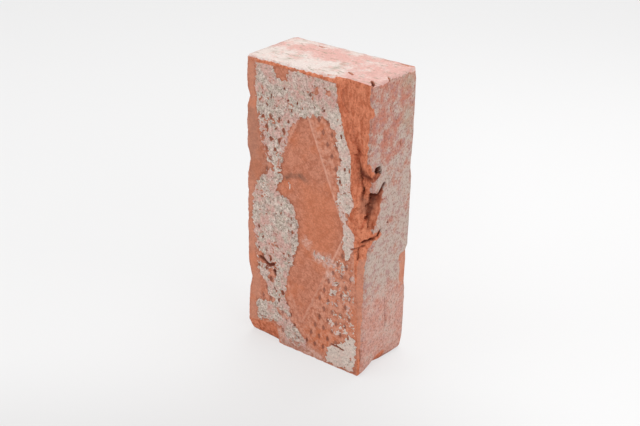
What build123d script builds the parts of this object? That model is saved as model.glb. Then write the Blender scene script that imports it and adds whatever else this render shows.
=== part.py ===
from build123d import *
import os

# Old pressed clay brick, standing on one header end.
# X runs across the patterned bed face, Y through the thickness and Z up the length.
# The patterned bed faces -Y. The origin is the centre of the base.

# Body
brick_length = 230.0
brick_width = 109.0
brick_thickness = 57.0

# Smooth lozenge panel, pressed into the middle of the bed
panel_length = 173.0
panel_width = 76.0
panel_depth = 1.2
panel_draft = 45.0
panel_shift = -2.0
ridge_width = 2.6

# Net of tapered pits round the panel, in rows that step by half a mesh
mesh_width = 7.85
row_pitch = 8.33
pit_width = 4.4
pit_height = 8.4
pit_depth = 2.0
pit_draft = 30.0
net_shift = 3.1
net_lift = -2.3
net_border = 9.0
pit_clearance = 1.5

# How far every cutting shape runs on past the surface that it cuts
overcut = 4.0

# Broken front right arris, as stations down from the top. A station is the distance along the edge,
# the reach along the patterned bed, the valley's distance in from the narrow face and its depth
# under the patterned bed, then the reach along the narrow face.
right_break_stations = [
    (0, 29, 23.5, 5.5, 3),
    (10, 28, 23.5, 5.5, 2),
    (19, 27, 21.5, 5, 4.5),
    (26, 24.5, 19, 5, 2),
    (39, 21.5, 16, 5, 2),
    (47, 18, 13, 5.5, 2),
    (56, 14.5, 11, 6, 2),
    (61, 14.5, 10.3, 6.3, 2.5),
    (66, 14.5, 10, 7, 5),
    (70, 14.5, 9.8, 7.5, 7.5),
    (79, 14.5, 8.8, 8, 8),
    (84, 13, 8, 7.5, 16),
    (90, 10.5, 7, 6.5, 19),
    (98, 14.5, 7, 4.5, 16.5),
    (102, 16.5, 7, 3, 13.5),
    (108, 16, 6, 2.5, 11),
    (114, 9, 5, 4.5, 12),
    (122, 10, 5, 5, 14),
    (127, 10.5, 5, 3, 7),
    (139, 9.5, 4.5, 2, 3),
    (152, 8, 4, 1.8, 3),
    (172, 4.5, 2.2, 1.6, 3),
    (200, 3.5, 1.7, 1.2, 2.5),
]

# Worn edges, as stations along each edge. A station is the distance along the edge, then how far
# the loss reaches along each of its two faces.
# Front left arris, down from the top: reach along the narrow face, reach along the patterned bed.
left_wear_stations = [
    (0, 2, 3),
    (10, 0.8, 0.8),
    (23, 0.8, 1),
    (31, 4.5, 3.5),
    (38, 0.8, 0.8),
    (70, 0.8, 0.8),
    (81, 4, 3),
    (92, 1.2, 1),
    (120, 0.8, 0.8),
    (168, 1, 1),
    (180, 6, 4.5),
    (190, 2.5, 2),
    (208, 1, 1),
]
left_wear_hollow = 0.5

# Back right arris, down from the top: reach along the narrow face, reach along the back bed.
back_break_stations = [
    (0, 3, 3),
    (8, 1.2, 1.2),
    (50, 1, 1),
    (76, 2, 2),
    (84, 0.8, 0.8),
    (143, 0.6, 0.6),
    (145, 11, 2.2),
    (150, 11, 1.5),
    (172, 10, 1.5),
    (177, 1.2, 1),
    (218, 1.5, 1.5),
    (227, 4, 3),
]
back_break_hollow = 0.55

# Back left arris, down from the top: reach along the back bed, reach along the narrow face.
plain_wear_stations = [
    (0, 3, 3),
    (45, 1.5, 1.5),
    (110, 2, 1.5),
    (165, 1.5, 2),
    (200, 2, 2),
]
plain_wear_hollow = 0.4

# Top front arris, from the left: reach down the patterned bed, reach back along the top.
top_wear_stations = [
    (0, 4, 2.5),
    (20, 3.5, 3.5),
    (45, 3, 3.5),
    (60, 3.5, 5),
    (75, 3.5, 3.5),
    (85, 4, 4.5),
    (100, 4, 3),
]
top_wear_hollow = 0.45

# Spall at the bottom left of the patterned bed, from the left: reach back along the base, reach up.
base_spall_stations = [
    (0, 6.5, 11.5),
    (14, 5.5, 14.5),
    (24, 5, 16),
    (28.5, 4, 13.5),
    (31, 0.5, 5),
    (34, 0.3, 0.3),
    (80, 0.3, 0.3),
]
base_spall_hollow = 0.5

# Broken lower edge of the narrow face, from the front: reach inwards along the base, reach up.
foot_break_stations = [
    (0, 2.5, 2.5),
    (6, 4, 4),
    (13, 6, 6),
    (18, 8, 8.5),
    (22, 6.5, 10),
    (30, 4.5, 12),
    (36, 3.8, 8.5),
    (42, 3.2, 4.5),
    (50, 3, 3),
]
foot_break_hollow = 0.5

# Crevices that open on the narrow face: outline back from the patterned bed and down from the top
crevice_depth = 8.0
hole_depth = 10.0
crevice_hole = [(8, -61.5), (15.5, -62), (17, -65.5), (16, -69), (9, -67.5)]
crevice_long = [
    (22.5, -77.6),
    (16, -82),
    (14, -91),
    (10.5, -100),
    (3, -110),
    (1.5, -109.5),
    (7, -99.5),
    (9.5, -91),
    (10.9, -83.5),
    (16.5, -80.8),
]
crevice_low = [
    (20.5, -112),
    (14.5, -115.5),
    (8.5, -117),
    (3.5, -118.5),
    (3.5, -120.5),
    (9, -119),
    (15, -118.5),
    (19, -116),
]

# Crevice that opens on the break: outline in from the narrow face and down from the top, with its
# depths from the patterned bed
front_depth = 10.0
front_hole_depth = 13.0
crevice_front = [
    (-11.3, -58),
    (-11, -66),
    (-10.3, -75),
    (-8.9, -84),
    (-7.9, -83.5),
    (-9.1, -74.5),
    (-9.9, -66),
    (-10.4, -58),
]
crevice_front_hole = [(-11.9, -67), (-10.9, -64.5), (-9.3, -67), (-8.9, -72), (-10.1, -75), (-11.7, -72)]

half_width = brick_width / 2
half_thickness = brick_thickness / 2
middle = brick_length / 2


# Stations of a worn edge, each given the same share of hollow between its two reaches
def hollowed(stations, hollow):
    return [(distance, one, one * hollow, two * hollow, two) for distance, one, two in stations]


# Loss along one edge: a ruled loft of sections that turn the square corner into a hollow break.
# The first section runs on past the start of the edge and the last one past its end.
def edge_loss(start, along, across, edge_length, stations):
    first = (-overcut,) + stations[0][1:]
    last = (edge_length + overcut,) + stations[-1][1:]
    inner = [station for station in stations if station[0] > 0 and station[0] < edge_length]
    edge = Plane(origin=start, x_dir=across, z_dir=along)
    with BuildPart() as loss:
        for distance, reach_one, valley_one, valley_two, reach_two in [first] + inner + [last]:
            with BuildSketch(edge.offset(distance)):
                with BuildLine():
                    Polyline(
                        (reach_one, 0),
                        (valley_one, valley_two),
                        (0, reach_two),
                        (-overcut, reach_two),
                        (-overcut, -overcut),
                        (reach_one, -overcut),
                        close=True,
                    )
                make_face()
        loft(ruled=True)
    return loss.part


# Reach of a loss at a distance along its edge, between the two stations around it
def reach_at(stations, distance, column):
    for before, after in zip(stations, stations[1:]):
        if before[0] <= distance <= after[0]:
            share = (distance - before[0]) / (after[0] - before[0])
            return before[column] + share * (after[column] - before[column])
    return stations[-1][column]


# Whether a pit centred here lies in sound clay of the net, clear of the ridge, border and breaks
def pit_is_sound(x, z):
    across = abs(x - panel_shift) / (panel_width / 2)
    along = abs(z - middle) / (panel_length / 2)
    slope = (1 / (panel_width / 2) ** 2 + 1 / (panel_length / 2) ** 2) ** 0.5
    from_panel = (across + along - 1) / slope
    right_room = half_width - x - reach_at(right_break_stations, brick_length - z, 1)
    foot_room = z - reach_at(base_spall_stations, x + half_width, 2)
    in_border = abs(x) < half_width - net_border and abs(z - middle) < middle - net_border
    clear_of_panel = from_panel > ridge_width + pit_width / 2
    clear_of_breaks = right_room > pit_width / 2 + pit_clearance and foot_room > pit_height / 2 + pit_clearance
    return in_border and clear_of_panel and clear_of_breaks


# Centres of the pits, row by row, each row stepped by half a mesh from the one before
def pit_centres():
    centres = []
    rows = int(middle / row_pitch) + 1
    columns = int(half_width / mesh_width) + 1
    for row in range(-rows, rows + 1):
        z = middle + net_lift + row * row_pitch
        step = mesh_width / 2 if row % 2 else 0
        for column in range(-columns, columns + 1):
            x = net_shift + column * mesh_width + step
            if pit_is_sound(x, z):
                centres.append((x, z))
    return centres


# The patterned bed, seen from the front: local x runs along X and local y up Z
bed_face = Plane(origin=(0, -half_thickness, 0), x_dir=(1, 0, 0), z_dir=(0, -1, 0))

# The same bed and the narrow face, both measured from the top of the arris between them
broken_arris = (half_width, -half_thickness, brick_length)
broken_bed = Plane(origin=broken_arris, x_dir=(1, 0, 0), z_dir=(0, -1, 0))
narrow_face = Plane(origin=broken_arris, x_dir=(0, 1, 0), z_dir=(1, 0, 0))

right_break = edge_loss(broken_arris, (0, 0, -1), (-1, 0, 0), brick_length, right_break_stations)
left_wear = edge_loss(
    (-half_width, -half_thickness, brick_length),
    (0, 0, -1),
    (0, 1, 0),
    brick_length,
    hollowed(left_wear_stations, left_wear_hollow),
)
back_break = edge_loss(
    (half_width, half_thickness, brick_length),
    (0, 0, -1),
    (0, -1, 0),
    brick_length,
    hollowed(back_break_stations, back_break_hollow),
)
plain_wear = edge_loss(
    (-half_width, half_thickness, brick_length),
    (0, 0, -1),
    (1, 0, 0),
    brick_length,
    hollowed(plain_wear_stations, plain_wear_hollow),
)
top_wear = edge_loss(
    (-half_width, -half_thickness, brick_length),
    (1, 0, 0),
    (0, 0, -1),
    brick_width,
    hollowed(top_wear_stations, top_wear_hollow),
)
base_spall = edge_loss(
    (-half_width, -half_thickness, 0),
    (1, 0, 0),
    (0, 1, 0),
    brick_width,
    hollowed(base_spall_stations, base_spall_hollow),
)
foot_break = edge_loss(
    (half_width, -half_thickness, 0),
    (0, 1, 0),
    (-1, 0, 0),
    brick_thickness,
    hollowed(foot_break_stations, foot_break_hollow),
)

# The fired body with its pressed bed, then its losses
with BuildPart() as brick:
    with BuildSketch():
        Rectangle(brick_width, brick_thickness)
    extrude(amount=brick_length)

    # Lozenge panel with drafted walls
    with BuildSketch(bed_face):
        with Locations((panel_shift, middle)):
            Polygon(
                (panel_width / 2, 0),
                (0, panel_length / 2),
                (-panel_width / 2, 0),
                (0, -panel_length / 2),
                align=None,
            )
    extrude(amount=-panel_depth, taper=panel_draft, mode=Mode.SUBTRACT)

    # Net of pits
    with BuildSketch(bed_face):
        with Locations(*pit_centres()):
            Polygon(
                (pit_width / 2, 0),
                (0, pit_height / 2),
                (-pit_width / 2, 0),
                (0, -pit_height / 2),
                align=None,
            )
    extrude(amount=-pit_depth, taper=pit_draft, mode=Mode.SUBTRACT)

    # Broken and worn edges
    for loss in (right_break, left_wear, back_break, plain_wear, top_wear, base_spall, foot_break):
        add(loss, mode=Mode.SUBTRACT)

    # Crevices on the narrow face
    with BuildSketch(narrow_face):
        Polygon(*crevice_long, align=None)
        Polygon(*crevice_low, align=None)
    extrude(amount=-crevice_depth, mode=Mode.SUBTRACT)
    with BuildSketch(narrow_face):
        Polygon(*crevice_hole, align=None)
    extrude(amount=-hole_depth, mode=Mode.SUBTRACT)

    # Crevice on the break, with its deeper hole
    with BuildSketch(broken_bed):
        Polygon(*crevice_front, align=None)
    extrude(amount=-front_depth, mode=Mode.SUBTRACT)
    with BuildSketch(broken_bed):
        Polygon(*crevice_front_hole, align=None)
    extrude(amount=-front_hole_depth, mode=Mode.SUBTRACT)

os.makedirs("parts", exist_ok=True)
brick.part.label = "brick"
export_step(brick.part, "parts/brick.step")
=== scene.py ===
import math
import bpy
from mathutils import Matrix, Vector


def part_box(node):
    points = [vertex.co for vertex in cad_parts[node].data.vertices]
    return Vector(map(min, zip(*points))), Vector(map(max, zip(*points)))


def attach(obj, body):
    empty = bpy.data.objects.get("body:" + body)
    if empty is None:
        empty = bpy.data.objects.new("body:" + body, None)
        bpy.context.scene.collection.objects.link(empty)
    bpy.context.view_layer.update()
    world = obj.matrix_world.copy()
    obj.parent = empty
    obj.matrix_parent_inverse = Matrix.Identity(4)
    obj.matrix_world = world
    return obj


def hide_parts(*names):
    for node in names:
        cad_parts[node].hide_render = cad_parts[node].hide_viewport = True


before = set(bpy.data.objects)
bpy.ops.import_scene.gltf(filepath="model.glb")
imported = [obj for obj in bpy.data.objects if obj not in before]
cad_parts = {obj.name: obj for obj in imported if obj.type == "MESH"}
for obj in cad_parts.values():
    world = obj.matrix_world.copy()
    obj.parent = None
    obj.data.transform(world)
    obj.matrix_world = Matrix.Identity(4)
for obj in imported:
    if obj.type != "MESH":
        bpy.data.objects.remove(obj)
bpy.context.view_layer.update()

from types import SimpleNamespace

import bmesh
import bpy
import numpy as np
from mathutils import Matrix, Vector, kdtree, noise

brickLow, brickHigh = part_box("brick")
mm = 0.001

# half sizes and height of the brick in mm; the patterned bed faces -Y and the narrow face +X
halfWide = (brickHigh.x - brickLow.x) / 2 / mm
halfThick = (brickHigh.y - brickLow.y) / 2 / mm
tall = (brickHigh.z - brickLow.z) / mm
print("frame loaded: brick", round(halfWide * 2), "x", round(halfThick * 2), "x", round(tall), "mm")


photoCamera = {
    "azimuth": 36.72,  # degrees from the patterned bed round towards the narrow face
    "elevation": 25.66,
    "roll": 1.157,
    "distance": 0.8843,  # metres from the middle of the brick, then its shifts across and up
    "aside": -0.00575,
    "above": -0.00446,
    "lens": 66.25,  # mm
}


def placeCamera(setup):
    a, e, r = (math.radians(setup[k]) for k in ("azimuth", "elevation", "roll"))
    back = Vector((math.sin(a) * math.cos(e), -math.cos(a) * math.cos(e), math.sin(e)))
    right = Vector((math.cos(a), math.sin(a), 0))
    up = back.cross(right)
    rolledRight = right * math.cos(r) + up * math.sin(r)
    rolledUp = up * math.cos(r) - right * math.sin(r)
    middle = (brickLow + brickHigh) / 2
    eye = middle + rolledRight * setup["aside"] + rolledUp * setup["above"] + back * setup["distance"]
    data = bpy.data.cameras.new("photoCamera")
    data.lens = setup["lens"]
    camera = bpy.data.objects.new("photoCamera", data)
    bpy.context.scene.collection.objects.link(camera)
    turn = Matrix((rolledRight, rolledUp, back)).transposed()
    camera.matrix_world = Matrix.Translation(eye) @ turn.to_4x4()
    bpy.context.scene.camera = camera


placeCamera(photoCamera)
print("camera placed")


# Small helpers for node trees. A value may be a number, a colour or another node's socket.
def plug(tree, socket, value):
    if hasattr(value, "is_output"):
        tree.links.new(value, socket)
    else:
        socket.default_value = value


def addNode(tree, kind, inputs=None, **settings):
    made = tree.nodes.new(kind)
    for name, value in settings.items():
        setattr(made, name, value)
    for name, value in (inputs or {}).items():
        plug(tree, made.inputs[name], value)
    return made


def newMaterial(name):
    material = bpy.data.materials.new(name)
    material.use_nodes = True
    tree = material.node_tree
    return material, tree, tree.nodes["Principled BSDF"]


def paint(red, green, blue):
    # a colour as read off a screen, 0 to 255, in the linear values that shaders use
    linear = [((c / 255 + 0.055) / 1.055) ** 2.4 for c in (red, green, blue)]
    return (*linear, 1)


def mixColour(tree, share, first, second):
    return addNode(tree, "ShaderNodeMix", {0: share, 6: first, 7: second}, data_type="RGBA").outputs[2]


def combine(tree, operation, first, second):
    return addNode(tree, "ShaderNodeMath", {0: first, 1: second}, operation=operation).outputs[0]


def times(tree, first, second):
    return combine(tree, "MULTIPLY", first, second)


def weighted(tree, *parts):
    # the sum of several values, each given with its weight
    total = times(tree, *parts[0])
    for value, weight in parts[1:]:
        total = combine(tree, "ADD", total, times(tree, value, weight))
    return total


def steps(tree, source, low, high, first=0.0, last=1.0):
    # a number eased from first to last while the source goes from low to high
    made = addNode(tree, "ShaderNodeMapRange", {0: source, 1: low, 2: high, 3: first, 4: last})
    made.interpolation_type = "SMOOTHSTEP"
    return made.outputs[0]


studio = {
    "floorSize": 9.0,
    "floorColour": paint(233, 232, 232),
    # the paper's tones: painted light makes its right paler, painted shade darkens its front left and far
    # side
    "paperLeft": paint(243, 243, 243),
    "paperRight": paint(251, 251, 251),
    "paperFrontShade": paint(219, 218, 218),
    "paperFarShade": paint(240, 240, 240),
    "roughness": 0.9,
    "shine": 0.1,
    "rightOnFloor": (0.8, 0.6),  # the picture's right as X and Y on the floor; its front is (0.6, -0.8)
    "turnsRight": (-0.02, 0.22),  # metres across the picture over which painted light makes the paper paler
    "turnsFront": (0.02, 0.22),  # metres towards the camera over which painted shade darkens its left side
    "turnsFar": (-0.25, -0.95),  # metres away from the camera over which painted shade darkens it a little again
    "paperShare": 0.68,  # how much of the floor's brightness is its own, so that the shadow stays faint
    "skyFill": 0.55,
    "lampsAimAt": (0, 0, 0.1),
    "lamps": [
        # name, place, size, watts
        ("topBox", (-0.1, 0.55, 1.5), 1.4, 15.0),
        ("leftBox", (-1.2, -1.3, 0.8), 1.2, 9.0),
        ("rightBox", (1.5, -0.2, 0.8), 1.2, 9.0),
    ],
}


def seenDirectly(tree):
    # 1 for what the camera sees itself or in a mirror or through glass, 0 for what lights the brick
    path = addNode(tree, "ShaderNodeLightPath")
    total = path.outputs["Is Camera Ray"]
    for name in ("Is Glossy Ray", "Is Transmission Ray"):
        total = combine(tree, "MAXIMUM", total, path.outputs[name])
    return total


def buildFloor(setup):
    half = setup["floorSize"] / 2
    mesh = bpy.data.meshes.new("studioFloor")
    corners = [(-half, -half, 0), (half, -half, 0), (half, half, 0), (-half, half, 0)]
    mesh.from_pydata(corners, [], [(0, 1, 2, 3)])
    floor = bpy.data.objects.new("studioFloor", mesh)
    bpy.context.scene.collection.objects.link(floor)
    material, tree, shader = newMaterial("palePaper")
    shader.inputs["Base Color"].default_value = setup["floorColour"]
    shader.inputs["Roughness"].default_value = setup["roughness"]
    shader.inputs["Specular IOR Level"].default_value = setup["shine"]
    coords = addNode(tree, "ShaderNodeTexCoord").outputs["Object"]
    x, y = addNode(tree, "ShaderNodeSeparateXYZ", {0: coords}).outputs[:2]
    along, up = setup["rightOnFloor"]
    across = weighted(tree, (x, along), (y, up))
    nearer = weighted(tree, (x, up), (y, -along))
    # painted light and shade on the paper: paler to the right, darker at the front left and far away
    rightward = steps(tree, across, *setup["turnsRight"])
    leftward = combine(tree, "SUBTRACT", 1.0, rightward)
    frontLeft = times(tree, steps(tree, nearer, *setup["turnsFront"]), leftward)
    farAway = steps(tree, nearer, *reversed(setup["turnsFar"]), 1.0, 0.0)
    paper = mixColour(tree, rightward, setup["paperLeft"], setup["paperRight"])
    paper = mixColour(tree, frontLeft, paper, setup["paperFrontShade"])
    paper = mixColour(tree, farAway, paper, setup["paperFarShade"])
    glow = addNode(tree, "ShaderNodeEmission", {"Color": paper, "Strength": 1.0})
    share = times(tree, seenDirectly(tree), setup["paperShare"])
    mix = addNode(tree, "ShaderNodeMixShader", {0: share, 1: shader.outputs[0], 2: glow.outputs[0]})
    tree.links.new(mix.outputs[0], tree.nodes["Material Output"].inputs["Surface"])
    mesh.materials.append(material)


def buildSky(setup):
    world = bpy.data.worlds.new("studioSky")
    world.use_nodes = True
    tree = world.node_tree
    tree.nodes.clear()
    fill = addNode(tree, "ShaderNodeBackground", {"Color": (1, 1, 1, 1), "Strength": setup["skyFill"]})
    seen = addNode(tree, "ShaderNodeBackground", {"Color": setup["paperRight"], "Strength": 1.0})
    direct = seenDirectly(tree)
    mix = addNode(tree, "ShaderNodeMixShader", {0: direct, 1: fill.outputs[0], 2: seen.outputs[0]})
    addNode(tree, "ShaderNodeOutputWorld", {"Surface": mix.outputs[0]})
    bpy.context.scene.world = world


def hangLamps(setup):
    target = Vector(setup["lampsAimAt"])
    for name, place, size, watts in setup["lamps"]:
        data = bpy.data.lights.new(name, "AREA")
        data.shape = "SQUARE"
        data.size = size
        data.energy = watts
        lamp = bpy.data.objects.new(name, data)
        lamp.location = place
        lamp.rotation_euler = (target - Vector(place)).to_track_quat("-Z", "Y").to_euler()
        bpy.context.scene.collection.objects.link(lamp)


buildFloor(studio)
buildSky(studio)
hangLamps(studio)
bpy.context.scene.view_settings.view_transform = "Standard"
print("studio built")


# Helpers for placing wear. They all work in millimetres, on whole arrays of points.
noiseSetup = {
    "reach": 1.6,  # brings smooth noise to about -1 to 1
    "finer": [(0.5, 2.1, 7.3), (0.25, 4.3, 3.1)],  # layers on top: strength, how much finer, shift
    "layeredReach": 1.4,  # brings the layers together back to about -1 to 1
}
facetSetup = {
    "sway": 0.35,  # how crooked the borders of the flats are, as a share of their size
    "swaySize": 0.8,
    "swayShifts": (61.0, 71.0, 83.0),
    "crowding": 0.3,  # flats for each point, times the square of their size in mm
}


def lumps(points, size, shift):
    # smooth noise, with lumps this many mm across
    scaled = (points / size + shift).tolist()
    return np.array([noise.noise(p) for p in scaled]) * noiseSetup["reach"]


def ragged(points, size, shift):
    # rougher noise, with two finer layers on top
    total = lumps(points, size, shift)
    for strength, finer, further in noiseSetup["finer"]:
        total += strength * lumps(points, size / finer, shift + further)
    return total / noiseSetup["layeredReach"]


def ease(low, high, value):
    # 0 at low and 1 at high, with a smooth start and end
    t = np.clip((value - low) / (high - low), 0, 1)
    return t * t * (3 - 2 * t)


def toLine(u, v, line):
    # distance from an open line of points
    nearest = np.full(u.shape, 1e9)
    for (ax, ay), (bx, by) in zip(line, line[1:]):
        ex, ey = bx - ax, by - ay
        t = np.clip(((u - ax) * ex + (v - ay) * ey) / (ex * ex + ey * ey), 0, 1)
        nearest = np.minimum(nearest, np.hypot(u - ax - t * ex, v - ay - t * ey))
    return nearest


def insideBy(u, v, outline):
    # how far inside a closed outline, negative outside it
    closed = outline + outline[:1]
    inside = np.zeros(u.shape, bool)
    for (ax, ay), (bx, by) in zip(closed, closed[1:]):
        if ay == by:
            continue
        crossing = ax + (v - ay) / (by - ay) * (bx - ax)
        inside ^= ((ay > v) != (by > v)) & (u < crossing)
    away = toLine(u, v, closed)
    return np.where(inside, away, -away)


def deepest(u, v, outlines):
    # how far inside the nearest of several outlines, negative outside all of them
    most = np.full(u.shape, -1e9)
    for outline in outlines:
        most = np.maximum(most, insideBy(u, v, outline))
    return most


def covered(u, v, outlines, soft):
    # 1 inside any of the outlines, 0 outside, over a soft edge
    return ease(-soft, soft, deepest(u, v, outlines))


def strongest(u, v, patches, soft, least=0.0):
    # the greatest share of several patches, each of them an outline with its share
    most = np.full(u.shape, least)
    for outline, share in patches:
        most = np.maximum(most, share * covered(u, v, [outline], soft))
    return most


def spot(u, v, place, across, up):
    # a soft round patch, 1 in its middle
    return np.exp(-((u - place[0]) / across) ** 2 - ((v - place[1]) / up) ** 2)


def lastSound(along, across, sound, reach):
    # the furthest sound point in each 1 mm slice along, as a smooth line read back at every point
    slices = np.arange(0, reach + 1)
    furthest = np.full(slices.shape, np.nan)
    which = np.clip(np.round(along[sound]), 0, reach).astype(int)
    for slot in np.unique(which):
        furthest[slot] = across[sound][which == slot].max()
    known = ~np.isnan(furthest)
    return np.interp(along, slices[known], furthest[known])


def facets(points, where, size, tilt, seed):
    # small tilted flats, as broken clay has, as a height in mm
    draw = np.random.default_rng(seed)
    chosen = np.nonzero(where)[0]
    height = np.zeros(len(points))
    if not len(chosen):
        return height
    swaySize = size * facetSetup["swaySize"]
    sways = [ragged(points[chosen], swaySize, shift) for shift in facetSetup["swayShifts"]]
    swayed = points[chosen] + facetSetup["sway"] * size * np.stack(sways, axis=1)
    count = max(4, int(len(chosen) * facetSetup["crowding"] / size ** 2))
    seeds = swayed[draw.choice(len(chosen), count, replace=False)]
    leans = draw.normal(0, tilt, (count, 3))
    lifts = draw.uniform(-0.5, 0.5, count) * size * tilt
    tree = kdtree.KDTree(count)
    for i, place in enumerate(seeds):
        tree.insert(place, i)
    tree.balance()
    nearest = np.array([tree.find(place)[1] for place in swayed])
    height[chosen] = ((swayed - seeds[nearest]) * leans[nearest]).sum(1) + lifts[nearest]
    return height


# The skin of the brick: a dense copy of the solid, whose points are then worn
skinSetup = {
    "spacing": 0.55,  # mm between points while it is shaped
    "triangles": 192000,
    "mergeWithin": 1e-6,  # metres
    "insideBox": 0.01,  # mm that it keeps inside the solid's box
    "onFace": 0.12,  # mm under a face within which a point counts as lying on it
    "bedDeep": (3.4, 2.8),  # mm under the patterned bed over which its surface starts
    "bedEdge": (-0.5, 0.5),  # mm across the border of the sound bed over which it starts
}


def denseCopy(nodeName, spacing):
    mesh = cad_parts[nodeName].data.copy()
    mesh.materials.clear()
    joined = bmesh.new()
    joined.from_mesh(mesh)
    bmesh.ops.remove_doubles(joined, verts=joined.verts, dist=skinSetup["mergeWithin"])
    joined.to_mesh(mesh)
    joined.free()
    skin = bpy.data.objects.new("brickSkin", mesh)
    bpy.context.scene.collection.objects.link(skin)
    dense = skin.modifiers.new("dense", "REMESH")
    dense.mode = "VOXEL"
    dense.voxel_size = spacing * mm
    applyModifiers(skin)
    return skin


def applyModifiers(piece):
    graph = bpy.context.evaluated_depsgraph_get()
    made = bpy.data.meshes.new_from_object(piece.evaluated_get(graph))
    piece.modifiers.clear()
    piece.data = made


def thinOut(skin, importance, triangles):
    # fewer triangles, kept where importance is high
    levels = 10
    group = skin.vertex_groups.new(name="importance")
    for level in range(1, levels + 1):
        picked = np.nonzero(np.round(importance * levels) == level)[0]
        group.add(picked.tolist(), level / levels, "REPLACE")
    thin = skin.modifiers.new("thin", "DECIMATE")
    thin.vertex_group = "importance"
    thin.invert_vertex_group = True
    thin.vertex_group_factor = 1.0
    thin.use_collapse_triangulate = True
    thin.ratio = triangles / (2 * len(skin.data.polygons))
    applyModifiers(skin)
    skin.vertex_groups.clear()
    keepInBox(skin.data)
    skin.data.polygons.foreach_set("use_smooth", np.ones(len(skin.data.polygons), bool))


def readPoints(mesh):
    flat = np.zeros(len(mesh.vertices) * 3)
    mesh.vertices.foreach_get("co", flat)
    normals = np.zeros(len(mesh.vertices) * 3)
    mesh.vertices.foreach_get("normal", normals)
    return flat.reshape(-1, 3) / mm, normals.reshape(-1, 3)


def keepInBox(mesh):
    points = readPoints(mesh)[0]
    margin = skinSetup["insideBox"]
    low = [-halfWide + margin, -halfThick + margin, 0.0]
    high = [halfWide - margin, halfThick - margin, tall - margin]
    mesh.vertices.foreach_set("co", (np.clip(points, low, high) * mm).ravel())
    mesh.update()


def store(mesh, name, values):
    layer = mesh.attributes.new(name, "FLOAT", "POINT")
    layer.data.foreach_set("value", values.astype(np.float32))


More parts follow.
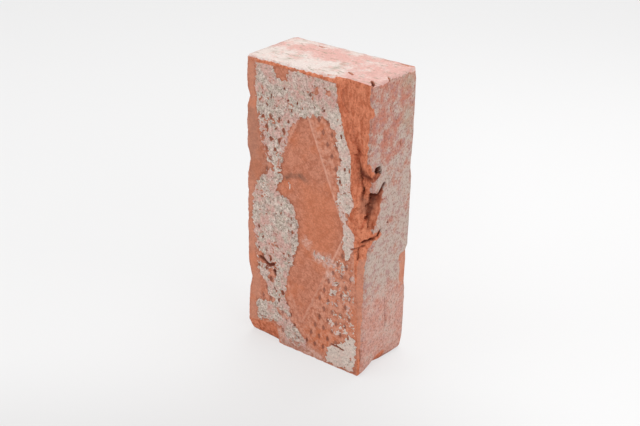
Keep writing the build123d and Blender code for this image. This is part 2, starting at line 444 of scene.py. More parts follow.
# Lime mortar left on the patterned bed, as outlines in X and Z
mortar = {
    "sunk": 0.55,  # the worn clay lies this far below the mortar's level
    "level": 0.06,
    "least": 0.08,  # mm that it stands above the clay at its thinnest
    "followsClay": 0.25,  # share of the clay's own hollows that it follows
    "wander": 1.3,  # mm by which its outlines stray, then how far its edge is pushed in and out
    "ragged": {"small": 1.3, "middle": 0.6, "fine": 0.45},
    "edge": (-0.35, 0.45),  # mm across an outline over which it ends
    "rimShadow": (-1.8, -0.2),  # mm outside it where painted shadow darkens the clay
    "crumbsFrom": (0.46, 0.62),  # level of the noise from which crumbs lie on the speckled part
    "smearEdge": (-0.2, 1.2),
    "smearShare": 0.8,
    "pocksFrom": (0.66, 0.84),
    "pitFull": 2.0,  # mm deep when a pit is whole
    "pitsShut": 0.10,  # how far the pits are open outside the places below
    "opensAt": 1.34,
    "holeEdge": (-0.12, 0.12),
    "patches": [
        [(-46.5, 227), (-29, 228), (-27, 219), (-18, 218), (-16, 227), (8, 227), (25, 227), (26, 222),
         (27, 213), (30, 205), (32, 192), (30, 178), (26, 180), (27, 190), (22, 192), (18, 198), (10, 199),
         (2, 197), (-3, 193), (-9, 190), (-16, 181), (-17, 170), (-22, 160), (-23, 148), (-27, 146),
         (-30, 150), (-36, 152), (-39, 160), (-42, 172), (-43.5, 183), (-45, 190), (-46, 200), (-47, 212)],
        [(29, 203), (33, 193), (37, 187), (40, 176), (40, 165), (41, 150), (44, 138), (44, 131), (36, 131),
         (28, 136), (29, 150), (28, 160), (30, 170), (28, 180)],
        [(30, 134), (36, 132), (38, 122), (45, 120), (45, 105), (41, 95), (38, 93), (36, 100), (34, 110),
         (35, 119)],
        [(-24, 146), (-33, 146), (-40, 140), (-46, 131), (-49, 120), (-50, 105), (-47, 85), (-45, 62),
         (-42, 54), (-36, 50), (-34, 38), (-20, 38), (-16, 60), (-13, 72), (-11, 80), (-7, 92), (-6, 102),
         (-9, 118), (-13, 126), (-22, 127), (-25, 133), (-22, 140)],
        [(-46, 33), (-38, 34), (-28, 40), (-18, 42), (-14, 34), (-12, 24), (-5, 19), (2, 12), (4, 3),
         (-20, 2), (-18, 14), (-30, 18), (-38, 17), (-46, 15)],
        [(22, 9), (25, 15), (31, 19.5), (36, 22), (40, 28), (44, 33), (48, 29), (50.4, 24), (49.5, 15),
         (47.5, 2), (30, 1), (23, 2)],
    ],
    "bare": [  # holes in the patches
        [(-47, 54), (-37, 52), (-34, 40), (-28, 38), (-34, 32), (-48, 36)],
        [(-27, 31), (-20, 30.5), (-13, 28), (-14, 24.5), (-20, 24.5)],
        [(-35, 62), (-30, 64), (-27, 58), (-30, 52), (-34, 54)],
        [(-20, 139), (-27, 137), (-26, 131), (-16, 130), (-8, 128), (-8, 136)],
        [(5, 219), (10, 218), (11, 214), (6, 215)],
        [(16, 220), (20, 219), (20, 215), (17, 216)],
        [(-46, 76), (-40, 74), (-39, 66), (-45, 66)],
    ],
    "thin": [(-30, 8), (6, 8), (6, 0), (-30, 0)],  # only a pinkish wash is left low down
    "washes": [  # pale pinkish washes over the clay
        [(-28, 12), (-14, 14), (2, 9), (18, 6), (22, -2), (-30, -2)],
        [(5, 90), (16, 91), (26, 91), (29, 85), (20, 82.5), (7, 84)],
        [(-2, 100), (4, 98), (4, 92), (-2, 94)],
        [(20, 80), (27, 78), (26, 72), (20, 74)],
        [(-22, 30), (-14, 28), (-8, 18), (-4, 12), (-18, 14)],
    ],
    "pink": [(-12, 226), (26, 228), (26, 206), (14, 204), (-10, 214)],
    "speckled": [(24, 92), (44, 94), (50, 66), (48, 34), (28, 26), (20, 42), (22, 72)],
    "clusters": [  # larger crumbs of it there: place, size across and up
        ((35, 86), 3.0, 3.0), ((28, 71), 2.6, 1.6), ((46, 80), 3.0, 4.0), ((34, 68.5), 2.2, 2.2),
        ((28, 64), 2.4, 2.2), ((30, 53), 2.0, 3.0), ((37, 60), 0.9, 8.0), ((31, 44), 3.0, 2.0),
        ((28, 37), 2.2, 2.6), ((33, 29), 3.4, 3.4), ((40, 32), 2.6, 3.6), ((43, 48), 1.6, 2.6),
        ((46, 65), 1.6, 3.0),
    ],
    "smears": [  # thin smears in the middle of the bed
        [(7, 90), (16, 91.5), (22, 90), (19, 87), (8, 86)],
        [(20, 89.5), (28, 88.5), (29, 84), (20, 84.5)],
        [(-17, 140), (-14, 140), (-14, 134), (-17, 135)],
    ],
    "filled": [  # where the pits are worn or filled level with the clay
        [(-28, 232), (-16, 232), (-15, 217), (-28, 216)],
        [(-56, 232), (-43, 232), (-39, 160), (-42, 130), (-56, 120)],
        [(-56, 60), (-40, 60), (-36, 40), (-56, 36)],
    ],
    "openPits": [  # outline, then how far its pits are open
        ([(-45, 192), (-14, 190), (-16, 170), (-22, 146), (-42, 150)], 0.95),
        ([(-44, 206), (-10, 208), (-6, 192), (-45, 190)], 0.40),
        ([(-46, 104), (-22, 104), (-18, 76), (-14, 36), (-38, 36), (-46, 72)], 0.75),
        ([(24, 196), (40, 190), (46, 160), (46, 132), (34, 132), (28, 150)], 0.50),
        ([(34, 120), (46, 120), (46, 92), (34, 92)], 0.30),
        ([(-20, 38), (4, 30), (8, 10), (-18, 14)], 0.40),
    ],
    "lighter": [  # the strips on the right and the patch at their foot are cleaner: outline, then how much
        ([(20, 206), (52, 206), (52, 90), (26, 90)], 0.35),
        ([(18, 46), (54, 46), (54, -4), (18, -4)], 0.60),
    ],
}

# The clay of the bed: the smooth lozenge with its ridge, the net of pits round it, stains, a painted
# shadow arc and warm places
bedClay = {
    "lozenge": [(36, 115), (-2, 201.5), (-40, 115), (-2, 28.5)],
    "ridgeAt": 1.2,  # mm outside the lozenge
    "ridgeWide": 1.3,
    "ridgeStands": 0.75,  # share of the clay's sinking that the ridge is spared
    "ridgeFaintLow": (96, 74, 0.55),  # heights over which the ridge fades, and by how much
    "ridgeFaintLeft": (-2, -6, 0.5),
    "netBorder": (7, 10),  # mm in from the edges of the bed over which the net starts
    "netLower": 0.20,  # mm that the net lies below the ridge
    "pitsLeft": 0.44,  # share of their depth that the pits keep, and how it varies
    "pitsVary": {"middle": 0.28, "small": 0.14},
    "pitsLeastLeft": 0.05,
    "grain": {"small": 0.10, "fine": 0.05, "middle": 0.07, "broad": 0.04},  # mm
    "edgeWear": 0.45,  # mm worn off beside the broken edges, and how far in
    "edgeWearReach": 2.5,
    "orange": [(-6, 146), (26, 140), (30, 118), (24, 90), (2, 84), (-4, 96), (-4, 120)],
    "warm": [(6, 20), (14, 27), (26, 30), (32, 25), (26, 17), (18, 11), (8, 12)],
    "smoky": [(-58, 193), (-46, 189), (-43, 168), (-36, 151), (-27, 138), (-40, 134), (-58, 136)],
    # a painted shadow along a small ledge on the panel, stained as well
    "darkArc": [(-20, 142.5), (-14, 146), (-5, 148), (2, 145)],
}

# Cracks, nicks and lines as points with their width and depth. Those of the bed and the break are in
# X and Z, those of the narrow face in Y and Z, those of the top in X and Y.
cracks = {
    "bed": [
        ([(29.3, 222), (29.8, 214), (32.1, 208.4), (34.5, 206.4)], 1.6, 0.7),
        ([(35.7, 220.5), (41.4, 219)], 1.2, 0.5),
        ([(37, 195), (38.8, 190), (40.9, 184.3), (42.6, 177), (43.4, 170), (43.6, 163)], 1.2, 0.5),
        ([(44.8, 155), (46, 147), (46.4, 143)], 1.5, 1.0),
        ([(47, 106), (47.5, 97)], 1.3, 1.1),
        ([(41.7, 103.9), (46, 106), (49.5, 107.7)], 1.6, 1.0),
        ([(52, 23), (53, 13)], 1.0, 0.8),
        ([(27, 18.5), (32, 18.5), (38, 17.5)], 1.6, 1.4),
        ([(-43, 69.5), (-37, 68), (-34.5, 65.5), (-30, 67.5)], 3.2, 1.6),
        ([(-29.5, 62), (-27.5, 59.5)], 2.6, 1.5),
        ([(-46, 17.5), (-36, 18.5), (-26, 17.5), (-19, 15.5)], 1.0, 0.6),
        ([(4, 138.5), (9, 138)], 0.9, 0.3),
    ],
    "narrow": [
        ([(-6.8, 151.6), (-11.5, 147.8), (-14.5, 144.5)], 3.4, 2.6),
        ([(-13.6, 146), (-15.6, 137.6), (-18.2, 130.6), (-21.6, 121.8)], 1.4, 1.2),
        ([(-12.2, 166.5), (-11.6, 163)], 2.2, 1.8),
        ([(-8.4, 117), (-10.1, 114.3), (-13, 112.6), (-17, 111.5), (-23, 110.3)], 1.8, 1.6),
        ([(-0.6, 119.6), (0.6, 119.0)], 1.8, 1.1),
        ([(1.5, 120), (5, 122.4)], 1.2, 0.6),
        ([(0.8, 56), (1.4, 47), (2.4, 40), (2.8, 31)], 1.5, 0.9),
        ([(-23, 73), (-10, 66), (2, 59.5), (7, 57)], 0.8, 0.25),
        ([(4, 26), (6, 25.4)], 1.2, 0.7),
        ([(-3, 208), (0, 211.5)], 1.3, 0.7),
        ([(3, 201), (5.5, 196)], 1.3, 0.7),
        ([(-1.5, 158), (-0.5, 152), (0, 147)], 1.3, 0.7),
        ([(11, 179), (12.5, 176)], 1.5, 0.9),
        ([(-9, 194), (-9.5, 188), (-8.5, 183)], 1.3, 0.7),
    ],
    "top": [
        ([(24.5, -12.2), (27, -13.4), (29, -14.6)], 2.0, 0.9),
        ([(47.5, -17), (50.5, -20.5), (53, -24)], 2.2, 1.8),
        ([(52, -4), (54.5, -6)], 1.6, 1.0),
        ([(-27, 22), (-23, 21), (-21, 22.5)], 1.4, 0.6),
        ([(16, -25), (22, -23.5)], 1.2, 0.5),
    ],
    "hollows": [  # deep openings on the narrow face, in Y and Z, darkened with painted shade
        [(-23, 171.5), (-11, 170), (-9.0, 164.5), (-11.5, 159.5), (-22, 160.5)],
        [(-6, 153), (-12, 150), (-13, 147), (-17, 147), (-14, 150)],
    ],
    "rusty": [  # places round them that are a deep red brown: outline, then how much
        ([(-22, 163.5), (-11, 161.5), (-11, 159.5), (-16, 157), (-22, 158)], 0.70),
        ([(-7, 152), (-9.6, 141.5), (-12, 136), (-15, 139), (-14, 147)], 0.70),
        ([(-9.6, 142), (-11.5, 133), (-17.5, 120), (-22, 119), (-19, 128), (-16, 138)], 0.35),
    ],
}

# The broken edges: where the clay shows fresh, and where the grime of the narrow face still covers it
breakage = {
    "smoothAbove": 196,  # the break is a clean face above this height and rugged below it
    "smoothLumps": 0.25,  # mm
    "ruggedLumps": 0.7,
    "grain": 0.12,
    "ruggedFrom": (70, 110),  # the height over which it grows rugged
    "wornBelow": 98,  # below this height the break is as worn as the bed
    "flats": [(7.5, 0.11, 5), (3.2, 0.13, 8)],  # size in mm, tilt and seed of its tilted flats
    "arris": 2.0,  # mm beside an arris that are rubbed round, and how deep
    "arrisDepth": {"middle": 0.20, "small": 0.16},
    "scuffs": 0.28,  # mm, on the plain faces
    "chips": [  # fresh clay on the back arris and at the foot, in Y and Z
        [(18, 89), (30, 86), (32, 56), (20, 56), (17, 64), (16, 76)],
        [(-8, 10), (-2, 16), (4, 16), (8, 9), (6, -2), (-8, -2)],
    ],
    "notches": [  # where the film of grime has flaked off beside the break, in Y and Z
        [(-30, 216), (-23, 213), (-22.6, 208), (-30, 204)],
        [(-30, 176), (-24.5, 172), (-23, 166), (-30, 160)],
        [(-25, 168), (-20, 163.5), (-11.5, 162), (-12, 160.5), (-17, 158.5), (-25, 157)],
        [(-20, 118), (-17, 116.5), (-9, 116.5), (-8, 114), (-10, 111.5), (-20, 109)],
        [(-7, 151), (-9.6, 141.5), (-11.5, 133), (-17.5, 120), (-24, 119), (-20, 140), (-14, 147)],
    ],
    "stains": [[(-24, 145), (-13, 142), (-15, 136), (-17, 131), (-24, 133)]],
}

# Grime and lime on the narrow face, in Y and Z: how grey it is at each height, then separate patches
grime = {
    "heights": [-5, 20, 54, 76, 110, 150, 168, 185, 205, 235],
    "greyness": [0.32, 0.36, 0.40, 0.78, 0.74, 0.70, 0.54, 0.38, 0.40, 0.36],
    "grey": [
        [(2, 56), (8, 58), (13, 40), (12, 22), (5, 20), (2.5, 38)],
        [(10, 200), (20, 204), (26, 190), (24, 165), (12, 170)],
        [(-24, 184), (-12, 190), (-10, 172), (-22, 174)],
    ],
    "red": [
        [(-24, 204), (-15, 206), (-14, 198), (-24, 195)],
        [(-8, 188), (1, 190), (3, 172), (-6, 168)],
        [(-28, 68), (-20, 62), (-22, 10), (-28, 6)],
        [(-16, 40), (-9, 44), (-10, 30), (-17, 28)],
    ],
    "green": [
        [(12, 228), (24, 228), (24, 218), (14, 216)],
        [(13, 204), (24, 202), (24, 184), (14, 188)],
    ],
}

# Lime film on the top, in X and Y
topFilm = {
    "pale": [
        [(-56, -30), (24, -30), (27, -13), (17, -6), (12, 3), (-8, -3), (-28, 1), (-58, -2)],
        [(-56, 14), (-42, 18), (-30, 23), (0, 24), (34, 26), (34, 32), (-56, 32)],
    ],
    "pink": [[(-42, 8), (-24, 20), (-8, 20), (8, 12), (0, 4), (-20, 4)]],
    "rubbed": [[(40, 24), (51, 24), (53, 30), (40, 30)]],  # where it is gone and the clay shows
    "marks": [  # grey-green marks: place, size across and up, strength
        ((-25, -7), 3.0, 1.6, 0.5), ((-44, -10), 3.5, 2.2, 0.4), ((11, -1), 2.0, 2.6, 0.6),
        ((12.5, -10), 1.6, 4.5, 0.7), ((8, -15), 3.4, 1.0, 0.5), ((-26, -18), 2.2, 2.6, 0.4),
        ((-48, 22), 1.2, 1.2, 0.8), ((-43, 24), 1.6, 1.0, 0.7), ((-34, 23), 1.1, 0.9, 0.9),
        ((-29, 21), 1.1, 0.8, 0.8), ((4, 27.4), 1.5, 0.9, 0.9), ((31, 26.5), 1.5, 0.9, 0.9),
        ((-37, -1), 1.8, 1.2, 0.4), ((36, -4), 0.8, 2.2, 0.35), ((47, 2), 0.7, 2.0, 0.3),
    ],
}


# Noise that all the wear shares: how many mm across its lumps are, and where in the noise it is taken
raggedNoise = {
    "broad": (22, 3.0),
    "middle": (7, 17.0),
    "small": (2.6, 29.0),
    "pocks": (2.2, 37.0),
    "sway": (5, 11.0),
    "swayToo": (5, 23.0),
}
smoothNoise = {
    "patchy": (9, 5.0),
    "crumbs": (5.5, 53.0),
    "fine": (1.25, 41.0),
}


def soundBed(x, z, onBed):
    # how far a point lies inside the part of the bed that never broke away
    flush = (onBed < skinSetup["onFace"]) & (np.abs(x) < halfWide - 0.5)
    right = lastSound(z, x, flush, int(tall))
    left = -lastSound(z, -x, flush, int(tall))
    top = lastSound(x + halfWide, z, flush, int(halfWide * 2))
    foot = -lastSound(x + halfWide, -z, flush, int(halfWide * 2))
    return np.minimum.reduce([right - x, x - left, top + 1 - z, z - foot])


def survey(skin):
    # what the wear needs at every point: its place, how deep it lies, the noises, the bed and the breaks
    at = SimpleNamespace()
    at.points, at.normals = readPoints(skin.data)
    at.x, at.y, at.z = at.points.T
    at.onBed, at.onNarrow, at.onTop = at.y + halfThick, halfWide - at.x, tall - at.z
    depths = [at.onBed, at.onNarrow, at.onTop, at.x + halfWide, halfThick - at.y, at.z]
    at.depth, at.nextDepth = np.sort(depths, axis=0)[:2]
    for name, (size, shift) in raggedNoise.items():
        setattr(at, name, ragged(at.points, size, shift))
    for name, (size, shift) in smoothNoise.items():
        setattr(at, name, lumps(at.points, size, shift))
    at.within = soundBed(at.x, at.z, at.onBed) + 0.4 * at.sway
    at.bed = ease(*skinSetup["bedEdge"], at.within) * ease(*skinSetup["bedDeep"], at.onBed)
    at.lost = np.where(at.depth < skinSetup["onFace"], 0.0, 1.0) * (1 - at.bed)
    return at


def pushed(values, at, **weights):
    # values pushed up and down by some of the shared noises, each with its weight
    for name, weight in weights.items():
        values = values + weight * getattr(at, name)
    return values


def grooves(u, v, lines, sway):
    # depth of a set of cracks at every point
    depth = np.zeros(u.shape)
    for line, width, deep in lines:
        away = toLine(u + sway, v + sway * 0.6, line)
        depth = np.maximum(depth, deep * ease(width * 0.7, width * 0.1, away * (1 + 0.3 * sway)))
    return depth


def layMortar(at):
    # how much mortar lies at every point, with the pits that it leaves open
    x, z, small, patchy = at.x, at.z, at.small, at.patchy
    at.u = pushed(x, at, sway=mortar["wander"], fine=0.3)
    at.v = pushed(z, at, swayToo=mortar["wander"], pocks=0.4)
    inPatch = np.minimum(deepest(at.u, at.v, mortar["patches"]), -deepest(at.u, at.v, mortar["bare"]))
    at.inPatch = inPatch + pushed(0, at, **mortar["ragged"])
    crust = ease(*mortar["edge"], at.inPatch)
    thin = covered(at.u, at.v, [mortar["thin"]], 2.5)
    crust *= 1 - thin * ease(-0.5, 0.4, pushed(small, at, middle=0.5))

    # crumbs low on the right, and thin smears
    crumbs = 0.7 * at.crumbs
    for place, across, up in mortar["clusters"]:
        crumbs += 0.9 * spot(x + 0.6 * at.sway, z + 0.6 * at.swayToo, place, across, up)
    crumbs = ease(*mortar["crumbsFrom"], pushed(crumbs, at, pocks=0.55, fine=0.50))
    specks = covered(at.u, at.v, [mortar["speckled"]], 4) * crumbs
    smeared = pushed(deepest(at.u, at.v, mortar["smears"]), at, small=1.4, fine=0.5)
    smears = ease(*mortar["smearEdge"], smeared) * mortar["smearShare"]
    crust = np.maximum.reduce([crust, specks, smears])

    # open pits, and small pocks everywhere
    at.inPanel = ease(-0.6, 0.9, insideBy(x, z, bedClay["lozenge"]))
    at.filled = covered(x, z, mortar["filled"], 3)
    at.pitDepth = at.onBed * (1 - at.inPanel) * (1 - 0.8 * at.filled) * at.bed
    openness = strongest(at.u, at.v, mortar["openPits"], 5, mortar["pitsShut"]) + 0.30 * patchy
    opened = pushed(at.pitDepth / mortar["pitFull"], at, small=0.70, middle=0.30)
    opened -= mortar["opensAt"] - openness
    hole = ease(*mortar["holeEdge"], opened) * ease(0.0, 0.25, at.pitDepth + 0.3 * openness)
    pocked = ease(*mortar["pocksFrom"], at.pocks + 0.35 * patchy + 0.25 * openness) * (1 - specks)
    crust *= 1 - np.maximum(hole, pocked)
    crust *= ease(-0.8, 0.3, at.within + 0.5 * small) * ease(*skinSetup["bedDeep"], at.onBed)
    at.crust = crust


def wearBed(at, moved):
    # clay lies a little below the mortar, its pits worn shallower, with the ridge left standing
    x, z, small, middle = at.x, at.z, at.small, at.middle
    beside = insideBy(x + 0.3 * at.sway, z + 0.3 * at.swayToo, bedClay["lozenge"]) + bedClay["ridgeAt"]
    wide = bedClay["ridgeWide"]
    at.ridge = ease(wide, wide * 0.25, np.abs(beside)) * at.bed
    at.ridge *= ease(-1.1, -0.3, middle + 0.4 * small)
    toEdge = np.minimum.reduce([halfWide - np.abs(x), z, tall - z])
    at.inNet = (1 - at.inPanel) * ease(*bedClay["netBorder"], toEdge)

    pitsLeft = pushed(bedClay["pitsLeft"], at, **bedClay["pitsVary"])
    pitsLeft -= 0.22 * covered(x, z, [mortar["speckled"]], 8) + 0.4 * at.filled
    pitsLeft = np.clip(pitsLeft, bedClay["pitsLeastLeft"], 1)
    clayDepth = at.onBed * pitsLeft * (1 - at.inPanel) + at.onBed * at.inPanel
    clayDepth += mortar["sunk"] * (1 - bedClay["ridgeStands"] * at.ridge)
    clayDepth += bedClay["netLower"] * at.inNet * (1 - at.ridge)
    clayDepth = pushed(clayDepth, at, **bedClay["grain"])
    rubbed = bedClay["edgeWear"] * ease(bedClay["edgeWearReach"], 0, at.within + at.sway)
    clayDepth += rubbed * (0.5 + 0.6 * middle)
    mortarDepth = mortar["level"] + 0.16 * (1 + middle) + 0.16 * (1 + small) + 0.07 * at.fine
    mortarDepth += mortar["followsClay"] * (clayDepth - mortar["sunk"])
    mortarDepth = np.minimum(mortarDepth, clayDepth - mortar["least"])
    newBed = clayDepth + (mortarDepth - clayDepth) * at.crust
    moved[:, 1] += (np.maximum(newBed, 0.02) - at.onBed) * at.bed


def roughenBreaks(at, moved):
    # tilted flats on the breaks, crisp arrises, and a grain on the plain faces
    x, z, small, middle = at.x, at.z, at.small, at.middle
    rugged = ease(breakage["smoothAbove"] + 6, breakage["smoothAbove"] - 14, z)
    rugged *= ease(*breakage["ruggedFrom"], z)
    rightSide = ease(10, 16, x) * ease(8, 0, at.y)
    broken = (at.lost > 0.3) & (x > 0)
    flats = sum(facets(at.points, broken, *flat) for flat in breakage["flats"]) * rugged * rightSide
    lumpy = breakage["smoothLumps"] + (breakage["ruggedLumps"] - breakage["smoothLumps"]) * rugged
    rough = lumpy * (0.5 * middle + 0.4 * at.broad) + breakage["grain"] * small + 0.06 * at.fine - flats
    arris = ease(breakage["arris"], 0.0, at.depth + at.nextDepth) * (1 - 0.5 * at.bed)
    arris *= np.maximum(pushed(0.05, at, **breakage["arrisDepth"]), 0)
    scuffed = breakage["scuffs"] * ease(0.25, 1.0, small + 0.5 * middle)
    plain = (1 - at.bed) * (1 - at.lost) * (scuffed + pushed(0.09, at, small=0.025, fine=0.025))
    moved -= at.normals * (at.lost * rough + arris + plain)[:, None]


def cutCracks(at, moved):
    # cracks and nicks cut in along each surface, the hollows that get painted shade, and the dark red
    # brown round the crevices
    x, y, z = at.x, at.y, at.z
    bedCracks = grooves(x, z, cracks["bed"], 0.5 * at.sway) * ease(14, 9, at.onBed)
    sideCracks = grooves(y, z, cracks["narrow"], 0.5 * at.sway) * ease(9, 5, at.onNarrow)
    at.topCracks = grooves(x, y, cracks["top"], 0.5 * at.sway) * ease(3, 1.5, at.onTop)
    at.crack = np.maximum.reduce([bedCracks, sideCracks, at.topCracks])
    moved[:, 1] += bedCracks
    moved[:, 0] -= sideCracks
    moved[:, 2] -= at.topCracks
    at.crust *= 1 - ease(0.2, 0.8, at.crack)
    aside, along = y + 0.3 * at.sway, z + 0.3 * at.swayToo
    # the hollows, which get painted shade inside them and lose their film
    at.hollow = covered(aside, along, cracks["hollows"], 0.9)
    at.hollow *= ease(0.0, 1.2, at.onNarrow) * ease(11.0, 10.3, at.onNarrow)
    at.rusty = strongest(aside + 0.4 * at.small, along + 0.5 * at.small, cracks["rusty"], 1.3)
    at.rusty *= (1 + 0.5 * at.small) * ease(9, 7, at.onNarrow)


def bedLayers(at):
    # colour layers of the patterned bed
    x, z, u, v, small = at.x, at.z, at.u, at.v, at.small
    clear = 1 - at.crust
    # painted shadow along the panel's small ledge, with some stain in it
    arc = toLine(x + 0.6 * at.sway, z + 0.6 * at.swayToo, bedClay["darkArc"])
    stainAndShade = ease(3.4, 0.6, arc) * ease(6, -6, x) * (0.75 + 0.5 * small) * at.bed
    smoky = covered(x + at.sway, z + 3 * at.sway, [bedClay["smoky"]], 3) * (0.9 + 0.4 * at.middle) * at.bed
    washed = covered(x + 2 * at.sway, z + 2 * at.swayToo, mortar["washes"], 2.5) * (0.6 + 0.5 * small)
    orange = covered(x + at.sway, z + 2 * at.sway, [bedClay["orange"]], 7) * at.inPanel
    warm = 1.6 * covered(x + at.sway, z + at.sway, [bedClay["warm"]], 3) * (1 - at.inPanel)
    faint = 1
    for place, (start, end, share) in ((z, bedClay["ridgeFaintLow"]), (x, bedClay["ridgeFaintLeft"])):
        faint = faint * (1 - share * ease(start, end, place))
    return {
        "crust": at.crust,
        # painted shadow along the outside of the mortar's edge
        "rimShadow": ease(*mortar["rimShadow"], at.inPatch) * clear * at.bed,
        "netLine": at.inNet * ease(0.7, 0.1, at.pitDepth) * (1 - at.filled) * at.bed,
        "pinkish": covered(u, v, [mortar["pink"], mortar["thin"]], 4),
        "lighter": strongest(u, v, mortar["lighter"], 4),
        "washed": np.clip(1.7 * washed * at.bed, 0, 1),
        # painted shade in the pits, darker where they are deeper
        "pitShade": ease(0.1, 1.8, at.pitDepth + 0.35 * small) * clear,
        "ridge": at.ridge * clear * faint,
        "orange": np.clip(np.maximum(orange, warm), 0, 1.5) * at.bed,
        # stains, together with the painted shadow arc on the panel
        "stainAndShade": np.clip(np.maximum.reduce([stainAndShade, 0.32 * smoky, 0.6 * at.stained]), 0, 1),
    }


def sideLayers(at):
    # colour layers of the breaks and of the narrow face
    x, y, z, small, sway = at.x, at.y, at.z, at.small, at.sway
    shallow = ease(12, 9, at.onNarrow)
    chipped = ease(-0.6, 0.6, deepest(y + 0.6 * small, z + 0.8 * small, breakage["chips"])) * shallow
    rear = ease(2, 6, y) * (1 - chipped)
    notched = deepest(y + 0.7 * small + 0.4 * sway, z + 0.8 * small, breakage["notches"])
    flaked = ease(-0.6, 0.6, notched)
    below = pushed(at.onNarrow, at, small=0.5, sway=0.4) + 2.5 * flaked + 1.5 * at.hollow - 5 * rear
    film = ease(2.0, 1.1, below) * (1 - at.bed) * ease(0.1, 0.6, at.onTop) * (1 - chipped * at.lost)
    at.lost = np.maximum(at.lost, flaked * (at.onNarrow < 1))
    worn = ease(breakage["wornBelow"] + 8, breakage["wornBelow"] - 6, z) * ease(12, 18, z)
    leftEdge = ease(-43, -47, x) * ease(20, 26, z)
    fresh = at.lost * (1 - 0.8 * leftEdge) * (1 - 0.85 * worn * ease(10, 4, at.onNarrow))
    at.stained = covered(y + sway, z + sway, breakage["stains"], 2) * at.lost * shallow
    acrossGrime, upGrime = y + 2 * sway, z + 3 * at.swayToo
    grey = pushed(np.interp(z, grime["heights"], grime["greyness"]), at, patchy=0.13, small=0.10)
    grey += 0.2 * covered(acrossGrime, upGrime, grime["grey"], 7)
    grey -= 0.25 * covered(acrossGrime, upGrime, grime["red"], 7)
    green = covered(acrossGrime, upGrime, grime["green"], 5) * (0.5 + 0.5 * small)
    # a painted contact shadow along the foot of the bed
    footShadow = 0.55 * ease(1.3, 0.3, z) * at.bed
    return {
        "fresh": fresh * (1 - film) * (1 - 0.85 * rear),
        "rusty": np.clip(at.rusty, 0, 1),
        "edgeStrip": np.maximum(ease(-41, -45, x) * at.bed, 0.7 * worn * at.lost * (x > 0)),
        "film": film,
        "grey": np.clip(grey, 0, 1),
        "green": np.clip(green, 0, 1),
        "lowDown": ease(76, 52, z + 4 * sway),
        # painted shade in the cracks and hollows, and a painted contact shadow along the foot
        "paintedShade": np.maximum.reduce([ease(0.3, 1.5, at.crack), at.hollow, footShadow]),
        "plain": (1 - at.bed) * (1 - at.lost),
    }


def topLayers(at):
    # colour layers of the top
    x, y, small = at.x, at.y, at.small
    pale = 0.15 + 0.58 * covered(x + 3 * at.sway, y + 1.5 * at.swayToo, topFilm["pale"], 6)
    pale = pushed(pale, at, small=0.40, patchy=0.25)
    pale -= 0.3 * covered(x + 2 * at.sway, y + at.sway, topFilm["pink"], 6)
    at.marks = np.zeros(x.shape)
    for place, across, up, strength in topFilm["marks"]:
        mark = strength * spot(x + 0.8 * small, y + 0.6 * small, place, across, up)
        at.marks = np.maximum(at.marks, mark)
    onTopFace = ease(1.0, 0.3, at.onTop)
    frontLeft = ease(26, 20, x) * ease(0, -8, y)
    limed = np.maximum(onTopFace * (1 - at.lost), ease(2.0, 0.9, at.onTop + 0.5 * small) * frontLeft)
    rubbed = covered(x + 0.5 * at.sway, y + 0.5 * at.swayToo, topFilm["rubbed"], 1.5)
    return {
        "topFilm": limed * (1 - at.bed) * (1 - ease(0.05, 0.4, at.topCracks)) * (1 - 0.8 * rubbed),
        "pale": np.clip(pale, 0, 1),
        "marks": np.clip(1.4 * at.marks, 0, 1) * onTopFace,
    }


def weather(skin):
    # wear the skin and store its colour layers; returns how much each point matters to what is seen
    at = survey(skin)
    moved = at.points.copy()
    layMortar(at)
    wearBed(at, moved)
    roughenBreaks(at, moved)
    cutCracks(at, moved)
    skin.data.vertices.foreach_set("co", (moved * mm).ravel())
    skin.data.update()
    keepInBox(skin.data)
    for layers in (sideLayers(at), bedLayers(at), topLayers(at)):
        for name, values in layers.items():
            store(skin.data, name, values)
    shown = ease(4, 3, at.onBed) * ease(-4, 0, at.within) + 0.8 * at.lost * ease(16, 12, at.onBed)
    shown += 0.35 * (at.onNarrow < 0.5) + ease(0.1, 0.4, at.crack)
    shown += (0.25 + 0.5 * (at.marks > 0.15)) * (at.onTop < 0.5)
    return 0.12 + 0.88 * np.clip(shown, 0, 1)


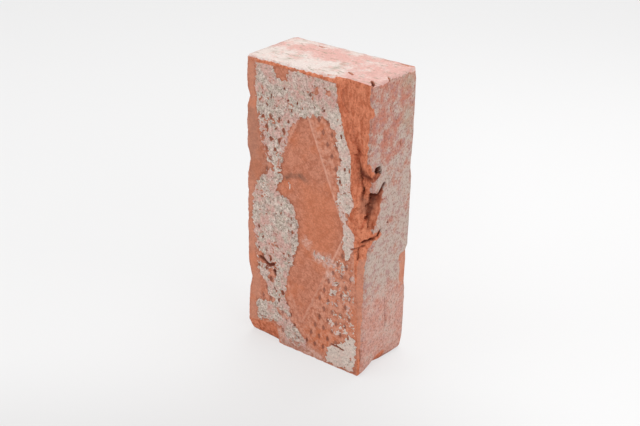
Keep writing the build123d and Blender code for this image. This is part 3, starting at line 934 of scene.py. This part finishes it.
clayLook = {
    "clayDark": paint(182, 113, 88),
    "clayLight": paint(208, 140, 114),
    "clayOrange": paint(206, 120, 82),
    "edgeClay": paint(201, 139, 115),
    "ridgeClay": paint(220, 163, 141),
    "freshDark": paint(178, 96, 66),
    "freshLight": paint(220, 139, 106),
    "freshFleck": paint(150, 74, 52),
    "rust": paint(102, 38, 25),
    # painted shade in the pits, in the bare clay and under open mortar
    "pitShadeClay": paint(150, 86, 66),
    "pitShadeInMortar": paint(140, 98, 86),
    "mortarDark": paint(150, 128, 116),
    "mortarLight": paint(224, 208, 197),
    "mortarPink": paint(208, 156, 146),
    "mortarGreen": paint(178, 170, 151),
    "speckColour": paint(126, 94, 84),
    "washColour": paint(218, 184, 171),
    "grimeGrey": paint(187, 168, 157),
    "grimeRed": paint(185, 121, 103),
    "grimeMauve": paint(172, 130, 126),
    "grimePink": paint(206, 162, 149),
    "grimeGreen": paint(172, 164, 142),
    "topPale": paint(220, 206, 199),
    "topPink": paint(214, 169, 160),
    "markColour": paint(148, 138, 118),
    # the colour of the stains and of the painted shadow arc
    "stainAndShadeColour": paint(116, 84, 72),
    # the colour of the painted shade in cracks, hollows and along the foot
    "crackShadeColour": paint(84, 34, 24),
    "roughness": 0.92,
    "shine": 0.15,
    "bumpMm": 0.5,
    "bumpStrength": 0.6,
    "grainShare": 1.1,  # how strongly fine grain darkens and lightens every surface
    # how strongly some of the colours are laid on
    "edgeShare": 0.7,
    "orangeShare": 0.45,
    "ridgeShare": 0.85,
    "greenShare": 0.7,
    "stainAndShadeShare": 0.78,
    "rimShadowShare": 0.45,
    "crackShadeShare": 0.85,
    "noises": {  # size in mm, detail, roughness and stretch of the coordinates
        "wide": (26, 3),
        "middle": (8, 4),
        "mottle": (4, 5, 0.65),
        "blotch": (2.6, 3, 0.6),
        "fine": (1.5, 5, 0.7),
        "grit": (0.8, 3, 0.8),
        "mossy": (3.4, 3),
        "drawn": (2.4, 4, 0.65, (1, 1, 0.35)),
        "mauve": (5.5, 4, 0.65, (1, 1, 1.4)),
        "scratch": (3.0, 4, 0.7, (0.4, 1.2, 1.0)),
    },
}


def noiseNode(tree, coords, size, detail, rough=0.6, stretch=None):
    if stretch:
        coords = addNode(tree, "ShaderNodeMapping", {"Vector": coords, "Scale": stretch}).outputs[0]
    made = addNode(tree, "ShaderNodeTexNoise", {
        "Vector": coords, "Scale": 1 / (size * mm), "Detail": detail, "Roughness": rough})
    return made.outputs["Fac"]


def readLayer(tree, name):
    return addNode(tree, "ShaderNodeAttribute", attribute_name=name).outputs["Fac"]


def shifted(tree, value, wobble, amount):
    # a value moved up and down by noise
    swing = times(tree, combine(tree, "SUBTRACT", wobble, 0.5), amount)
    return combine(tree, "ADD", value, swing)


def wobbled(tree, layer, wobble, amount):
    # a layer with its edge broken up by noise
    return steps(tree, shifted(tree, layer, wobble, amount), 0.40, 0.60)


def laidOn(tree, base, layer, share, colour):
    # the base with a colour laid on where a layer is, as strongly as its share
    return mixColour(tree, times(tree, readLayer(tree, layer), share), base, colour)


def bareClay(tree, look, noises):
    # clay of the pressed bed with painted shade in its pits, then fresh clay on the breaks, rust and
    # washes
    mottle, fine, blotch = noises["mottle"], noises["fine"], noises["blotch"]
    tone = weighted(tree, (mottle, 0.5), (fine, 0.3), (noises["middle"], 0.2))
    clay = mixColour(tree, steps(tree, tone, 0.38, 0.62), look["clayDark"], look["clayLight"])
    clay = laidOn(tree, clay, "edgeStrip", look["edgeShare"], look["edgeClay"])
    placed = times(tree, readLayer(tree, "orange"), look["orangeShare"])
    drifting = steps(tree, noises["wide"], 0.48, 0.66, 0.0, look["orangeShare"])
    clay = mixColour(tree, combine(tree, "MAXIMUM", placed, drifting), clay, look["clayOrange"])
    clay = laidOn(tree, clay, "netLine", steps(tree, mottle, 0.44, 0.60, 0.0, 0.5), look["ridgeClay"])
    clay = laidOn(tree, clay, "ridge", look["ridgeShare"], look["ridgeClay"])
    # painted shade in the pits
    clay = laidOn(tree, clay, "pitShade", steps(tree, blotch, 0.36, 0.60, 0.55, 0.15), look["pitShadeClay"])

    strokes = weighted(tree, (noises["drawn"], 0.6), (tone, 0.4))
    broken = mixColour(tree, steps(tree, strokes, 0.36, 0.61), look["freshDark"], look["freshLight"])
    broken = mixColour(tree, steps(tree, fine, 0.42, 0.32, 0.0, 0.6), broken, look["freshFleck"])
    clay = mixColour(tree, wobbled(tree, readLayer(tree, "fresh"), fine, 0.5), clay, broken)
    clay = mixColour(tree, readLayer(tree, "rusty"), clay, look["rust"])
    return laidOn(tree, clay, "washed", steps(tree, fine, 0.40, 0.56, 0.25, 0.85), look["washColour"])


def grimeOver(tree, look, noises, base):
    # grime on the narrow face, fainter on the hidden ones
    middle, fine = noises["middle"], noises["fine"]
    greyness = shifted(tree, shifted(tree, readLayer(tree, "grey"), middle, 2.0), fine, 1.5)
    film = mixColour(tree, steps(tree, greyness, 0.15, 0.85), look["grimeRed"], look["grimeGrey"])
    mauve = steps(tree, noises["mauve"], 0.50, 0.64, 0.0, 0.75)
    film = mixColour(tree, mauve, film, look["grimeMauve"])
    pink = steps(tree, noises["blotch"], 0.36, 0.58, 0.1, 0.7)
    film = laidOn(tree, film, "lowDown", pink, look["grimePink"])
    film = laidOn(tree, film, "green", look["greenShare"], look["grimeGreen"])
    film = mixColour(tree, steps(tree, fine, 0.45, 0.34, 0.0, 0.75), film, look["speckColour"])
    base = laidOn(tree, base, "plain", steps(tree, middle, 0.44, 0.60, 0.15, 0.65), film)
    return mixColour(tree, wobbled(tree, readLayer(tree, "film"), fine, 0.3), base, film)


def limeOver(tree, look, noises, base):
    # lime film on the top, then the stains and the painted shadow arc on the panel
    fine = noises["fine"]
    paleness = shifted(tree, readLayer(tree, "pale"), noises["mottle"], 1.8)
    top = mixColour(tree, steps(tree, paleness, 0.1, 0.9), look["topPink"], look["topPale"])
    scratch = steps(tree, noises["scratch"], 0.57, 0.66, 0.0, 0.75)
    top = mixColour(tree, scratch, top, look["markColour"])
    top = laidOn(tree, top, "marks", steps(tree, fine, 0.40, 0.55, 0.4, 1.0), look["markColour"])
    base = mixColour(tree, wobbled(tree, readLayer(tree, "topFilm"), fine, 0.4), base, top)
    return laidOn(tree, base, "stainAndShade", look["stainAndShadeShare"], look["stainAndShadeColour"])


def mortarOver(tree, look, noises, base):
    # mortar with a ragged edge, painted shade on the clay in its open pits, and a painted shadow round its
    # rim
    fine = noises["fine"]
    grain = weighted(tree, (noises["grit"], 0.35), (fine, 0.40), (noises["blotch"], 0.25))
    lime = mixColour(tree, steps(tree, grain, 0.39, 0.59), look["mortarDark"], look["mortarLight"])
    rosy = combine(tree, "ADD", times(tree, readLayer(tree, "pinkish"), 0.35),
                   steps(tree, noises["middle"], 0.44, 0.60, 0.0, 0.65))
    lime = mixColour(tree, combine(tree, "MINIMUM", rosy, 0.8), lime, look["mortarPink"])
    mossy = steps(tree, noises["mossy"], 0.50, 0.64, 0.0, 0.5)
    lime = mixColour(tree, mossy, lime, look["mortarGreen"])
    lime = mixColour(tree, readLayer(tree, "lighter"), lime, look["mortarLight"])
    lime = mixColour(tree, steps(tree, fine, 0.41, 0.31, 0.0, 0.85), lime, look["speckColour"])
    # painted shade on the clay seen through the mortar's open pits
    inPit = steps(tree, readLayer(tree, "pitShade"), 0.35, 0.9, 0.0, 0.6)
    around = mixColour(tree, inPit, base, look["pitShadeInMortar"])
    # painted shadow round the mortar's rim, in the pit shade colour
    around = laidOn(tree, around, "rimShadow", look["rimShadowShare"], look["pitShadeClay"])
    return mixColour(tree, wobbled(tree, readLayer(tree, "crust"), fine, 0.7), around, lime)


def firedClay(look):
    material, tree, shader = newMaterial("firedClay")
    coords = addNode(tree, "ShaderNodeTexCoord").outputs["Object"]
    noises = {name: noiseNode(tree, coords, *how) for name, how in look["noises"].items()}
    base = bareClay(tree, look, noises)
    for cover in (grimeOver, limeOver, mortarOver):
        base = cover(tree, look, noises, base)
    # painted shade in the cracks, the hollows and along the foot of the bed
    base = laidOn(tree, base, "paintedShade", look["crackShadeShare"], look["crackShadeColour"])

    # fine grain over everything, in brightness and in relief
    speckle = weighted(tree, (noises["fine"], 0.6), (noises["grit"], 0.4))
    brightness = shifted(tree, 1.0, speckle, look["grainShare"])
    base = addNode(tree, "ShaderNodeHueSaturation", {"Color": base, "Value": brightness}).outputs[0]
    tree.links.new(base, shader.inputs["Base Color"])
    shader.inputs["Roughness"].default_value = look["roughness"]
    shader.inputs["Specular IOR Level"].default_value = look["shine"]
    bump = addNode(tree, "ShaderNodeBump", {
        "Height": weighted(tree, (noises["grit"], 0.5), (noises["fine"], 0.5)),
        "Strength": look["bumpStrength"],
        "Distance": look["bumpMm"] * mm,
    })
    tree.links.new(bump.outputs[0], shader.inputs["Normal"])
    return material


skin = denseCopy("brick", skinSetup["spacing"])
print("skin made:", len(skin.data.polygons), "faces")
importance = weather(skin)
print("skin weathered")
thinOut(skin, importance, skinSetup["triangles"])
print("skin thinned:", len(skin.data.polygons), "triangles")
skin.data.materials.append(firedClay(clayLook))
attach(skin, "root")
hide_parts("brick")
print("clay dressed")
